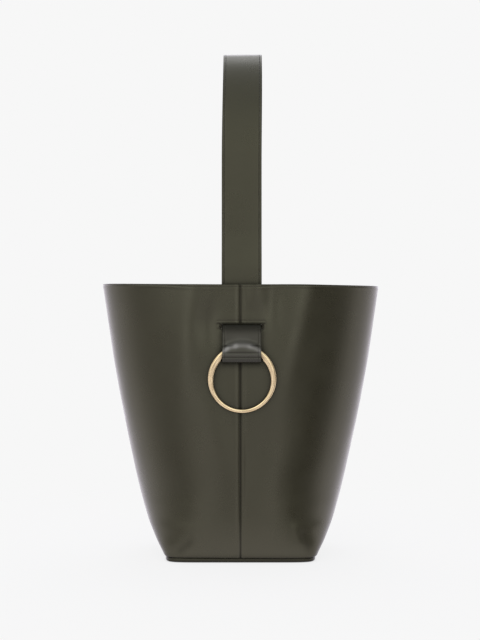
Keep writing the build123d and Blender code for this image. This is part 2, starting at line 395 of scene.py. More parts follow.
def noise(tree, vector, scale, detail, roughness):
    inputs = {"Vector": vector, "Scale": scale, "Detail": detail, "Roughness": roughness}
    return add_node(tree, "TexNoise", inputs).outputs["Fac"]


def varied(tree, source, low, high):
    """A noise's middle range brought to low and high."""
    return scalar_range(tree, source, low, high, 0.3, 0.7)


def bump(tree, height, strength, distance, **normal):
    """A bump, on top of an earlier one's Normal if that is given."""
    inputs = {"Height": height, "Strength": strength, "Distance": distance, **normal}
    return add_node(tree, "Bump", inputs).outputs["Normal"]


def painted_recess_shade(tree, distance, low, from_low, from_high):
    """How open to the light a point is, for painted shade: low deep in a recess and 1 on a free
    face.
    """
    recess = add_node(tree, "AmbientOcclusion", {"Distance": distance}, samples=6)
    return scalar_range(tree, recess.outputs["AO"], low, 1.0, from_low, from_high)


# The pale colour of the painted highlight.
HIGHLIGHT_PAINT = (0.200, 0.197, 0.182)
OLIVE_DARK = (0.0180, 0.0166, 0.0082)
OLIVE_LIGHT = (0.0215, 0.0196, 0.0100)
# Dark edge paint, which also serves as painted shade along seams, folds and creases.
EDGE_PAINT_AND_SHADE = (0.0090, 0.0086, 0.0055)
LEATHER_ROUGHNESS, LEATHER_IOR = 0.29, 1.6
GRAIN_SIZE, GRAIN = 0.55, 0.035
GOLD, GOLD_DARK = (0.97, 0.80, 0.475), (0.60, 0.46, 0.25)
GOLD_ROUGHNESS = 0.17
BRUSHING = 1500.0


def leather(name, shine=(0.985, 0.975, 0.72)):
    """Leather: cloudy colour, a fine grain of cells and pores, edge paint on cut edges, darker
    creased lines, painted shade in seams, folds and recesses, and a pale painted highlight."""
    material, tree, shader = node_tree(name)
    where = add_node(tree, "TexCoord").outputs["Object"]
    clouds = noise(tree, where, 16, 3, 0.55)
    colour = ramp(tree, clouds, ((0.32, OLIVE_DARK), (0.68, OLIVE_LIGHT)))
    flecks = varied(tree, noise(tree, where, 420, 2, 0.6), 0.97, 1.03)
    edge = add_node(tree, "Attribute", attribute_name="edge").outputs["Fac"]
    painted_highlight = add_node(tree, "Attribute", attribute_name="painted_highlight").outputs["Fac"]
    # Dark where the edge attribute is set: edge paint, creased lines and painted shade.
    painted = mix(tree, edge, multiply(tree, colour, flecks), (*EDGE_PAINT_AND_SHADE, 1))
    # Pale where a highlight is painted.
    highlighted = mix(tree, painted_highlight, painted, (*HIGHLIGHT_PAINT, 1))
    # Painted shade: darker colour and weaker reflection in recesses and on the darkened parts.
    painted_shade_factor = painted_recess_shade(tree, 0.011, 0.22, 0.35, 0.86)
    specular = compute(tree, "MULTIPLY", painted_shade_factor, scalar_range(tree, edge, 0.5, 0.1))
    polish = noise(tree, where, 38, 3, 0.6)
    scale = 1 / (GRAIN_SIZE * MM)
    inputs = {"Vector": where, "Scale": scale, "Smoothness": 0.6, "Randomness": 1.0}
    cells = add_node(tree, "TexVoronoi", inputs, feature="SMOOTH_F1").outputs["Distance"]
    pores, soft = noise(tree, where, 1300, 2, 0.5), noise(tree, where, 130, 3, 0.5)
    normal = bump(tree, cells, GRAIN, 0.00025)
    normal = bump(tree, pores, GRAIN * 0.6, 0.0001, Normal=normal)
    normal = bump(tree, soft, 0.08, 0.0006, Normal=normal)
    inputs = {
        "Base Color": multiply(tree, highlighted, painted_shade_factor),
        "Specular IOR Level": specular,
        "Roughness": varied(tree, polish, LEATHER_ROUGHNESS - 0.035, LEATHER_ROUGHNESS + 0.035),
        "Normal": normal,
        "IOR": LEATHER_IOR,
        "Specular Tint": (*shine, 1),
    }
    feed(tree, shader, inputs)
    return material


def brushed_gold(name, ring_y):
    """Pale gold plating with fine circular brushing about the ring's middle."""
    material, tree, shader = node_tree(name)
    where = add_node(tree, "TexCoord").outputs["Object"]
    inputs = {0: where, 1: (RING_X * MM, ring_y * MM, RING_Z * MM)}
    centred = add_node(tree, "VectorMath", inputs, operation="SUBTRACT").outputs["Vector"]
    x, y, z = add_node(tree, "SeparateXYZ", {"Vector": centred}).outputs
    flat = add_node(tree, "CombineXYZ", {"X": x, "Z": z}).outputs["Vector"]
    inputs = {
        "X": compute(tree, "MULTIPLY", vector_length(tree, flat), BRUSHING),
        "Y": compute(tree, "MULTIPLY", compute(tree, "ARCTAN2", x, z), 1.6),
        "Z": compute(tree, "MULTIPLY", y, BRUSHING),
    }
    lines = add_node(tree, "CombineXYZ", inputs).outputs["Vector"]
    brushed = noise(tree, lines, 1.0, 4, 0.65)
    tone = varied(tree, noise(tree, where, 55, 2, 0.5), 0.93, 1.05)
    colour = multiply(tree, ramp(tree, brushed, ((0.36, GOLD_DARK), (0.60, GOLD))), tone)
    turn = add_node(tree, "Tangent", direction_type="RADIAL", axis="Y")
    # The colour takes painted shade in recesses and close to the leather.
    inputs = {
        "Base Color": multiply(tree, colour, painted_recess_shade(tree, 0.012, 0.25, 0.45, 0.92)),
        "Roughness": varied(tree, brushed, GOLD_ROUGHNESS - 0.05, GOLD_ROUGHNESS + 0.07),
        "Normal": bump(tree, brushed, 0.6, 0.00008),
        "Tangent": turn.outputs["Tangent"],
        "Metallic": 1.0,
        "Anisotropic": 0.5,
    }
    feed(tree, shader, inputs)
    return material


def fibrous(name, dark, light, scale, bump_scale, strength, roughness):
    """Matt material with a mottled colour and a fibrous surface: suede, split leather, board."""
    material, tree, shader = node_tree(name)
    where = add_node(tree, "TexCoord").outputs["Object"]
    mottled = noise(tree, where, scale, 5, 0.6)
    fibres = noise(tree, where, bump_scale, 5, 0.7)
    inputs = {
        "Base Color": ramp(tree, mottled, ((0.35, dark), (0.65, light))),
        "Roughness": varied(tree, fibres, roughness - 0.05, roughness + 0.05),
        "Normal": bump(tree, fibres, strength, 0.0003),
        "Sheen Weight": 0.25,
        "Sheen Roughness": 0.5,
    }
    feed(tree, shader, inputs)
    return material


body_leather = leather("olive_leather")
strap_leather = leather("olive_strap_leather")
tab_leather = leather("olive_tab_leather", shine=(0.99, 0.99, 0.86))
suede = fibrous("olive_suede", (0.075, 0.068, 0.042), (0.105, 0.096, 0.060), 300, 3000, 0.5, 0.9)
split = fibrous("split_leather", (0.07, 0.06, 0.045), (0.10, 0.09, 0.065), 260, 1800, 0.5, 0.9)
board = fibrous("fibreboard", (0.20, 0.16, 0.11), (0.27, 0.22, 0.16), 160, 900, 0.4, 0.85)
thread = fibrous("olive_thread", (0.030, 0.029, 0.018), (0.045, 0.043, 0.027), 900, 4500, 0.5, 0.6)

# ---- the wall's pieces ----
NEAR_SEAM = (0, 0.05, 0.15, 0.35, 0.6, 0.9, 1.2, 1.6, 2.1, 2.7, 3.4, 4.2, 5.2, 6.5, 8, 10, 12)
TO_SLOT_END = (14.5, 17, 19, 20.4, 21.2, 22, 23, 23.6, 24, 24.5, 25.2, 26, 26.8, 27.6, 29, 31, 33.5)
PANEL_SEAM = np.array(NEAR_SEAM + TO_SLOT_END)


def half_columns(near, count, way):
    """Columns of one half of the wall as distances from the front seam: near both seams those of
    near, and count in the open run between them."""

    def columns(length):
        run = np.linspace(near[-1], length - near[-1], count)
        half = np.concatenate([near[:-1], run, (length - near[:-1])[::-1]])
        return half if way > 0 else -half[::-1]

    return columns


# Rows of the panels, close together at the foot, round the slot and at the rim: the first are
# heights over the foot, the second over the slot's lower edge, the third below the rim.
OVER_FOOT = (0, 0.05, 0.15, 0.35, 0.6, 0.9, 1.2, 1.6, 2.1, 2.8, 3.6, 4.6, 6, 7.5)
BELOW_SLOT = (-5.5, -4.2, -3.4, -2.7, -2.0, -1.2, -0.5)
IN_SLOT = (0, 1.1, 2.25, 3.4, 4.5)
ABOVE_SLOT = (5.0, 5.7, 6.5, 7.2, 7.9, 8.7, 10)
RIM_FOLD = (10, 8, 6.2, 4.8, 3.9, 3.3, 2.9, 2.6, 2.3, 2.0, 1.75)
RIM_EDGE = (1.5, 1.3, 1.1, 0.9, 0.7, 0.5, 0.3, 0.15, 0.05, 0)
PANEL_ROWS = np.concatenate(
    [
        WALL_FOOT + np.array(OVER_FOOT),
        np.linspace(14.5, SLOT_LOW - 8, 74),
        SLOT_LOW + np.array(BELOW_SLOT + IN_SLOT + ABOVE_SLOT),
        np.linspace(252, RIM - 12.5, 7),
        RIM - np.array(RIM_FOLD + RIM_EDGE),
    ]
)
LINING_ROWS = np.concatenate(
    [
        np.linspace(5.5, SLOT_LOW - 2, 60),
        SLOT_LOW + np.array((-1, 0, 2.25, 4.5, 5.5)),
        np.linspace(246, 250.8, 3),
    ]
)
LINING_SEAM = np.array((0.15, 0.6, 1.5, 3, 6, 10, 15, 19.7, 20.9, 22.3, 23.4, 25, 28, 32))


def raise_rim(points, front, zs):
    """Lifts or drops the upper wall so that its rim follows rim_drop."""
    share = smooth((zs - 215) / (RIM - 215))[:, None]
    points[:, :, 2] += share * rim_drop(points[:, :, 0], front)
    return points


def wall_faces(columns, zs, depth_out, depth_in, outside=False):
    """The two faces of a layer of the wall, at two depths under its outer face."""
    bare, normals, seam, front = wall(columns, zs)
    swollen = swell(bare, seam, front, zs)
    stands = swollen + (relief(bare, seam, front, zs) if outside else 0)
    outer = raise_rim(bare + normals * (stands - depth_out)[:, :, None], front, zs)
    inner = raise_rim(bare + normals * (swollen - depth_in)[:, :, None], front, zs)
    return outer, inner, bare, seam, front


def slot_keep(bare, zs, left, right, low, high):
    """Which squares of a grid lie outside the slots."""
    x = (bare[:-1, :-1, 0] + bare[1:, 1:, 0]) / 2
    z = ((zs[:-1] + zs[1:]) / 2)[:, None]
    flat = np.abs(bare[:-1, :-1, 1]) > FACE_Y
    return ~((x > left) & (x < right) & (z > low) & (z < high) & flat)


for side, way in (("right", 1), ("left", -1)):
    columns = half_columns(PANEL_SEAM, 108, way)
    outer, inner, bare, seam, front = wall_faces(columns, PANEL_ROWS, 0, LEATHER, outside=True)
    keep = slot_keep(bare, PANEL_ROWS, SLOT_LEFT, SLOT_RIGHT, SLOT_LOW, SLOT_HIGH)
    # Where the leather is dark: edge paint on the rim and the slot's cut edge, a darker creased
    # line over the slot, and painted shade along the seam, under the tab's fold and along the
    # corner creases.
    x, z = bare[:, :, 0], bare[:, :, 2]
    rim_edge = smooth(1 - (RIM - z) / 0.75)
    seam_shade = smooth(1 - seam / 1.7) * (1 - 0.35 * smooth((z - 243) / 6))
    line = over_slot(x) * hill(z - 242.0, 0.7)
    fold = smooth((20.6 - np.abs(x - STRAP_X)) / 2.5) * hill(z - 201.2, 2.2)
    flat = np.abs(bare[:, :, 1]) > FACE_Y
    edge = np.maximum.reduce(
        [
            0.75 * rim_edge,
            0.72 * seam_shade,
            0.9 * smooth(1 - slot_gap(x, z) / 0.9),
            0.55 * line * flat,
            0.50 * fold * flat,
            0.3 * corner_creases(x, z, seam, front)[0],
        ]
    )
    panel = shell(f"leather_{side}", outer, inner, body_leather, keep, edge=edge)
    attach(panel, "bag")
    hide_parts(f"body_panel_{side}")

    columns = half_columns(LINING_SEAM, 80, way)
    outer, inner, bare, seam, front = wall_faces(columns, LINING_ROWS, LINING_OUT, LINING_IN)
    keep = slot_keep(bare, LINING_ROWS, -20.4, 22.8, SLOT_LOW - 1, SLOT_HIGH + 1)
    lining = shell(f"suede_{side}", outer, inner, suede, keep)
    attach(lining, "bag")
    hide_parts(f"lining_{side}")

FACING_ROWS = np.concatenate(
    [
        FACING_FOOT + np.array((0, 0.15, 0.4, 0.8, 1.6, 3)),
        np.linspace(256, RIM - 4, 8),
        RIM - np.array((2.5, 1.5, 0.9, 0.6, 0.35, 0.15, 0.05, 0)),
    ]
)
all_round = wall(lambda length: np.linspace(-length, length, 281)[:-1], FACING_ROWS)
bare, normals, seam, front = all_round
from_top, from_foot = RIM - FACING_ROWS, FACING_ROWS - FACING_FOOT
turned = (roll(from_top, 0.75) + roll(from_foot, 0.5))[:, None, None]
groove = (0.22 * hill(from_foot - 2.6, 0.5))[:, None, None]
swollen = swell(bare, seam, front, FACING_ROWS)[:, :, None]
outer = raise_rim(bare + normals * (swollen - TAPE_OUT - 0.5 * turned), front, FACING_ROWS)
inner = raise_rim(bare + normals * (swollen - LINING_IN + turned + groove), front, FACING_ROWS)
top_edge = smooth(1 - from_top / 0.6)[:, None] * np.ones(seam.shape)
facing = shell("facing", outer, inner, body_leather, wrap=True, edge=0.75 * top_edge)
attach(facing, "bag")
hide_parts("rim_facing")


def middle_strip(across, zs, way):
    """The two faces of a strip over the front seam (way -1) or the back one, between the leather
    and the lining."""
    faces = []
    for depth in (TAPE_OUT, TAPE_IN):
        made = np.empty((len(zs), len(across), 3))
        for i, z in enumerate(zs):
            a, b, n = (float(profile(z, k)) for k in (1, 2, 3))
            made[i, :, 0] = -way * across
            made[i, :, 1] = way * (b - depth) * (1 - np.abs(across / (a - depth)) ** n) ** (1 / n)
            made[i, :, 2] = z
        faces.append(made)
    return faces


PATCH_LEFT, PATCH_RIGHT = -20, 22.4
patch_x = np.concatenate(
    [np.linspace(-32, PATCH_LEFT, 6), np.linspace(-16, 18, 9), np.linspace(PATCH_RIGHT, 32, 6)]
)
patch_z = np.concatenate(
    [np.linspace(216, SLOT_LOW, 9), (SLOT_Z,), np.linspace(SLOT_HIGH, 250.5, 5)]
)
for side, way in SIDES:
    outer, inner = middle_strip(np.linspace(-9, 9, 9), np.linspace(8, 215.5, 60), way)
    tape = shell(f"tape_{side}", outer, inner, split)
    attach(tape, "bag")
    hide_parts(f"{side}_seam_tape")

    outer, inner = middle_strip(patch_x, patch_z, way)
    x, z = (patch_x[:-1] + patch_x[1:]) / 2, (patch_z[:-1] + patch_z[1:])[:, None] / 2
    keep = ~((x > PATCH_LEFT) & (x < PATCH_RIGHT) & (np.abs(z - SLOT_Z) < SLOT_HALF_HEIGHT))
    patch = shell(f"patch_{side}", outer, inner, split, keep)
    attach(patch, "bag")
    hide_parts(f"{side}_slot_patch")

# ---- the lip round each slot ----
WELT_X = (SLOT_LEFT + SLOT_RIGHT) / 2
WELT_HALF_X, WELT_HALF_Z = (SLOT_RIGHT - SLOT_LEFT) / 2 + 0.3, SLOT_HALF_HEIGHT + 0.35
WELT_ROUND, WELT_RADIUS = 1.3, 0.5


def rounded_box(half_x, half_z, radius, step):
    """Points round a rounded rectangle, with the outward direction at each."""
    points, outward = [], []
    corners = ((1, 1, 0), (-1, 1, 90), (-1, -1, 180), (1, -1, 270))
    for k, (sx, sz, start) in enumerate(corners):
        centre = np.array((sx * (half_x - radius), sz * (half_z - radius)))
        for turn in np.radians(np.linspace(start, start + 90, 9)):
            way = np.array((math.cos(turn), math.sin(turn)))
            points.append(centre + radius * way)
            outward.append(way)
        nx, nz, _ = corners[(k + 1) % 4]
        side = np.array(((nx - sx) * (half_x - radius), (nz - sz) * (half_z - radius)))
        steps, corner = int(np.hypot(*side) / step), points[-1]
        points += [corner + side * t / steps for t in range(1, steps)]
        outward += [way] * (steps - 1)
    return np.array(points), np.array(outward)


def face_y(x, z):
    """The wall's half depth at x, and its slope across x."""
    a, b, n = (profile(z, k) for k in (1, 2, 3))
    y = b * (1 - np.abs(x / a) ** n) ** (1 / n)
    slope = -(y / b) ** (1 - n) * b / a * np.abs(x / a) ** (n - 1) * np.sign(x)
    return y, slope


for side, way in SIDES:
    middle, outward = rounded_box(WELT_HALF_X, WELT_HALF_Z, WELT_ROUND, 1.6)
    turns = circle(14)
    rings, welt_edge = [], []
    for (x, z), direction in zip(middle + (WELT_X, 0), outward):
        y, slope = face_y(x, z + SLOT_Z)
        out = np.array((-slope, 1.0, 0)) / math.hypot(slope, 1)
        across = np.array((direction[0], slope * direction[0], direction[1]))
        across /= np.linalg.norm(across)
        centre = np.array((x, y - 0.18, z + SLOT_Z))
        for t in turns:
            rings.append(centre + WELT_RADIUS * (math.cos(t) * across + math.sin(t) * out))
            welt_edge.append(0.9 * float(math.cos(t) > 0.35))
    tube = np.array(rings) * (1, way, 1)
    faces = closed_grid(len(middle), len(turns), way)
    welt = add_mesh(f"welt_{side}", tube, faces, body_leather, edge=np.array(welt_edge))
    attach(welt, "bag")
    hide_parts(f"{side}_slot_welt")

# ---- the base ----
BASE_TURNS = 240
BASE_RADIUS, BASE_INSET = 1.6, 1.2
LIP_RADIUS, LIP_Z, LIP_INSET = 0.8, 3.63, 2.0
BASE_INSIDE = 1.85


def dish(name, rings, material, painted=0):
    """A solid of rings round the footprint, from the middle of its underside to the middle of its
    top: each ring is (share of the outline, inset, height)."""
    s, x, y = half_outline(WALL_FOOT)
    at = np.linspace(0, s[-1], BASE_TURNS // 2 + 1)
    half_x, half_y = np.interp(at, s, x), np.interp(at, s, y)
    px = np.concatenate([half_x[:-1], -half_x[::-1][:-1]])
    py = np.concatenate([half_y[:-1], half_y[::-1][:-1]])
    tx, ty = np.roll(px, -1) - np.roll(px, 1), np.roll(py, -1) - np.roll(py, 1)
    length = np.hypot(tx, ty)
    nx, ny = ty / length, -tx / length
    points = [(0, 0, rings[0][2])]
    for share, inset, z in rings[1:-1]:
        points += [(*p, z) for p in zip(px * share - nx * inset, py * share - ny * inset)]
    points.append((0, 0, rings[-1][2]))
    count, faces, last = len(px), [], len(points) - 1
    for j in range(count):
        k = (j + 1) % count
        faces.append((0, 1 + k, 1 + j))
        for i in range(len(rings) - 3):
            a, b = 1 + i * count + j, 1 + i * count + k
            faces.append((a, b, b + count, a + count))
        top = 1 + (len(rings) - 3) * count
        faces.append((top + j, top + k, last))
    edge = [painted * (share == 1) for share, _, _ in rings[1:-1] for _ in range(count)]
    return add_mesh(name, points, faces, material, [0, *edge, 0])


# The base's underside, its rounded lower edge, its turned-up lip and its inside.
base_rings = [(share, 0, 0.0) for share in (0, 0.3, 0.6, 0.85, 0.93)]
for turn in np.radians(np.linspace(0, 78, 9)):
    inset = BASE_INSET + BASE_RADIUS - BASE_RADIUS * math.sin(turn)
    base_rings.append((1, inset, BASE_RADIUS - BASE_RADIUS * math.cos(turn)))
for turn in np.radians(np.linspace(8, 88, 7)):
    inset = LIP_INSET - LIP_RADIUS * math.cos(turn)
    base_rings.append((1, inset, LIP_Z + LIP_RADIUS * math.sin(turn)))
base_rings += [(1, 2.1, 4.42), (1, 2.3, 2.6), (1, 2.8, 1.9)]
base_rings += [(share, 0, BASE_INSIDE) for share in (0.9, 0.6, 0.3, 0)]
base = dish("base", base_rings, body_leather, painted=0.1)
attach(base, "bag")
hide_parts("base_panel")


def plate(name, inset, low, high, material, bevel=0.3):
    """A flat piece of the base's outline with bevelled edges."""
    rings = [(share, 0, low) for share in (0, 0.3, 0.6, 0.85)]
    rings += [(0.97, inset, low), (1, inset + bevel, low), (1, inset, low + bevel)]
    rings += [(1, inset, high - bevel), (1, inset + bevel, high), (0.97, inset, high)]
    rings += [(share, 0, high) for share in (0.85, 0.6, 0.3, 0)]
    return dish(name, rings, material)


stiffener = plate("stiffener", 3.0, 1.95, 4.0, board)
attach(stiffener, "bag")
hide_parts("base_board")
floor_lining = plate("suede_floor", 2.6, 4.5, 5.4, suede)
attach(floor_lining, "bag")
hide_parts("base_lining")

# ---- the strap ----
STRAP_HALF, STRAP_THICK = 20.2, 1.8
CREASE_IN = 2.6
# The arch: straight legs, long arcs above them and a tighter cap; inside the bag the legs stand
# farther out, against the wall.
LEG_Y, LEG_ARC, CAP_ARC, APEX = 66.0, 140.0, 20.0, 526.4
END_Y, STRAP_MEETS, STRAP_APART = 68.2, 296.0, 336.0
STRAP_FOOT_Y, STRAP_FOOT_ROUND, STRAP_STEP = 72.3, 4.5, 2.4
NEAR_STRAP_EDGE = (0, 0.05, 0.15, 0.3, 0.5, 0.8, 1.2, 1.7, 2.1, 2.35, 2.6, 2.85, 3.1, 3.6, 4.6)


def left_of(way):
    return np.stack([-way[..., 1], way[..., 0]], axis=-1)


def across_strip(half, inside):
    """Places across a strip at given distances inside both edges, and how far in each is."""
    across = np.concatenate([inside - half, (half - inside)[::-1][1:]])
    return across, half - np.abs(across)


def arc_points(y, z, radius, start, end, count):
    """Points in (y, z) on an arc; turn 0 is straight before the centre and pi / 2 above it."""
    turns = np.linspace(start, end, count)
    return [(y - radius * math.cos(turn), z + radius * math.sin(turn)) for turn in turns]


def strap_line():
    """The strap's middle line in (y, z), from the front slot up over the mouth and down to the
    back slot."""
    centre_y, cap_z = LEG_ARC - LEG_Y, APEX - CAP_ARC
    rise = math.sqrt((LEG_ARC - CAP_ARC) ** 2 - centre_y**2)
    spring, arc = cap_z - rise, math.atan2(rise, centre_y)
    bend_y, bend_z = -END_Y - STRAP_FOOT_ROUND, SLOT_Z + STRAP_FOOT_ROUND
    points = [(-STRAP_FOOT_Y, SLOT_Z)]
    points += arc_points(bend_y, bend_z, STRAP_FOOT_ROUND, -math.pi / 2, -math.pi, 9)
    leg = LEG_Y - STRAP_THICK
    for z in np.arange(bend_z + STRAP_STEP, spring, STRAP_STEP):
        share = float(smooth((z - STRAP_MEETS) / (STRAP_APART - STRAP_MEETS)))
        points.append((-END_Y + (END_Y - leg) * share, z))
    count = int(arc * LEG_ARC / STRAP_STEP)
    points += arc_points(centre_y, spring, LEG_ARC - STRAP_THICK, 0, arc, count)
    points += arc_points(0, cap_z, CAP_ARC - STRAP_THICK, arc, math.pi / 2, 10)[1:]
    front = np.array(points)
    return np.concatenate([front, front[::-1][1:] * (-1, 1)])


def on_strap(u, y, z):
    """A point at u across the strap, which leans and tilts a little to the right at its top."""
    drift = STRAP_X + 1.1 * smooth((z - 400) / 126)
    tilt = 0.008 * smooth((z - 430) / 96)
    return np.stack([u + drift, y, z + u * tilt], axis=-1)


def strap_section():
    """The strap's outer face as (distance across, half thickness, distance from the edge): rounded
    edges, and a creased line inside each."""
    inside = np.array(NEAR_STRAP_EDGE + (6.5, 9, 12, 15, 18, 20))
    across, edge = across_strip(STRAP_HALF, inside)
    thick = STRAP_THICK - roll(edge, 0.55) + 0.10 * smooth(edge / 14) - 0.05
    thick += 0.07 * hill(edge - 1.4, 0.6) - 0.26 * hill(edge - CREASE_IN, 0.35)
    return across, thick, edge


line = strap_line()
tangent = np.gradient(line, axis=0)
tangent /= np.linalg.norm(tangent, axis=1)[:, None]
facing_out = left_of(tangent)
across, thick, edge = strap_section()


def strap_face(height):
    """The grid of points at a height over the strap's middle surface."""
    y, z = (line[:, k, None] + facing_out[:, k, None] * height for k in (0, 1))
    return on_strap(np.broadcast_to(across, y.shape), y, z)


painted = np.maximum(smooth(1 - edge / 0.95), 0.3 * hill(edge - CREASE_IN, 0.45))
painted = np.broadcast_to(painted, (len(line), len(across)))
# Going up the front leg the section runs left to right and faces the front.
outer, inner = strap_face(thick), strap_face(-thick)
strap = shell("strap", outer, inner, strap_leather, edge=painted, edge_sharp=False)
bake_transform(strap)
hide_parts("strap_outer", "strap_inner", "strap_front_end", "strap_back_end")

# ---- stitches ----
STITCH_LENGTH, STITCH_WIDTH, STITCH_RISE, STITCH_PITCH = 2.5, 0.42, 0.17, 3.3
STITCH_SIDES, STITCH_RINGS = 8, 7
# The first stitch's distance from the slot, and how deep the stitches lie under the strap's face.
STITCH_START, STITCH_SUNK = 9, 0.12


def stitch_shape():
    """One stitch: a plump thread lying along x, its ends turned down into their holes."""
    points, faces = [], []
    last = (STITCH_RINGS - 1) * STITCH_SIDES
    for t in np.linspace(-1, 1, STITCH_RINGS):
        size = math.sqrt(max(1 - t**4, 0.03))
        for turn in circle(STITCH_SIDES):
            points.append((t, size * math.cos(turn), size * math.sin(turn) - 0.5 * t**4))
    for k in range(0, last, STITCH_SIDES):
        for j in range(STITCH_SIDES):
            a, b = k + j, k + (j + 1) % STITCH_SIDES
            faces.append((a, a + STITCH_SIDES, b + STITCH_SIDES, b))
    faces.append(tuple(range(STITCH_SIDES)))
    faces.append(tuple(range(last, last + STITCH_SIDES))[::-1])
    return np.array(points), faces


STITCH_POINTS, STITCH_FACES = stitch_shape()


def stitch_row(name, spots, runs, ups, material):
    """Stitches at spots, along runs, standing up from the leather along ups."""
    points, faces = [], []
    for spot, run, up in zip(spots, runs, ups):
        side = np.cross(up, run)
        axes = np.array((run * STITCH_LENGTH / 2, side * STITCH_WIDTH / 2, up * STITCH_RISE))
        start = len(points) * len(STITCH_POINTS)
        points.append(spot + STITCH_POINTS @ axes)
        faces += [tuple(start + v for v in face) for face in STITCH_FACES]
    return add_mesh(name, np.concatenate(points), faces, material)


def lengths_along(line):
    """How far along a line of points in (y, z) each of them is."""
    steps = np.linalg.norm(np.diff(line, axis=0), axis=1)
    return np.concatenate([[0], np.cumsum(steps)])


def points_at(line, at):
    """The points at the given lengths along a line in (y, z)."""
    s = lengths_along(line)
    return np.stack([np.interp(at, s, line[:, k]) for k in (0, 1)], axis=1)


spots, runs, ups = [], [], []
at = np.arange(STITCH_START, lengths_along(line)[-1] - STITCH_START, STITCH_PITCH)
middle = points_at(line, at)
direction = points_at(line, at + 0.2) - middle
direction /= np.linalg.norm(direction, axis=1)[:, None]
flat = np.zeros(len(at))
for edge_side in (-1, 1):
    for face_side in (1, -1):
        normal = left_of(direction) * face_side
        y, z = (middle + normal * (STRAP_THICK - STITCH_SUNK)).T
        spots.append(on_strap(edge_side * (STRAP_HALF - CREASE_IN), y, z))
        runs.append(np.column_stack([flat, direction]))
        ups.append(np.column_stack([flat, normal]))
rows = map(np.concatenate, (spots, runs, ups))
strap_thread = stitch_row("strap_stitching", *rows, thread)
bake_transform(strap_thread)

# ---- the tabs, folded round the rings ----
PLY = 0.95
RING_Z, RING_OUTER = 186.17, 34.2
TAB_ROWS, TAB_HALF = 190, 19.4
TAB_ROUNDS = (3.0, 6.5, 1.8, 6.0, 2.6, 2.6, 4.0, 4.0, 1.0)
# Lines across the tab's front: the top of its pinch, its groove, and the end of its upper ply.
PINCH_Z, GROOVE_Z, PLY_END_Z = 219.2, 212.6, 207.8


def rounded_line(points, radii, step):
    """A line of straight runs with rounded corners, whose points are about a step apart."""
    points = [np.array(p, float) for p in points]
    made = [points[0]]
    for before, corner, after, radius in zip(points, points[1:], points[2:], radii):
        into = (corner - before) / np.linalg.norm(corner - before)
        onward = (after - corner) / np.linalg.norm(after - corner)
        bend = math.acos(np.clip(into @ onward, -1, 1))
        cut = radius * math.tan(bend / 2)
        start = corner - into * cut
        left = left_of(into)
        side = 1 if left @ onward > 0 else -1
        centre = start + left * side * radius
        for t in np.linspace(0, bend, max(3, int(bend * radius / step) + 2)):
            made.append(centre - left * side * radius * math.cos(t) + into * radius * math.sin(t))
    made.append(points[-1])
    return np.array(made)


def tab_line(x):
    """The folded leather's middle line in (distance out, z) at x: out of the slot, down the front,
    over the ring, round its underside, up behind it and back into the slot."""
    arc_top = max(RING_Z + math.sqrt(RING_OUTER**2 - min(abs(x), 19.0) ** 2), 216.0)
    points = (
        (72.4, 239.75),
        (79.45, 239.75),
        (79.6, arc_top + 4.6),
        (84.1, arc_top - 0.1),
        (85.05, arc_top - 6.0),
        (85.05, 203.35),
        (76.55, 203.35),
        (76.55, 219.5),
        (77.5, 225.0),
        (77.5, 237.75),
        (72.4, 237.75),
    )
    line = rounded_line(points, TAB_ROUNDS, 0.35)
    return points_at(line, np.linspace(0, lengths_along(line)[-1], TAB_ROWS))


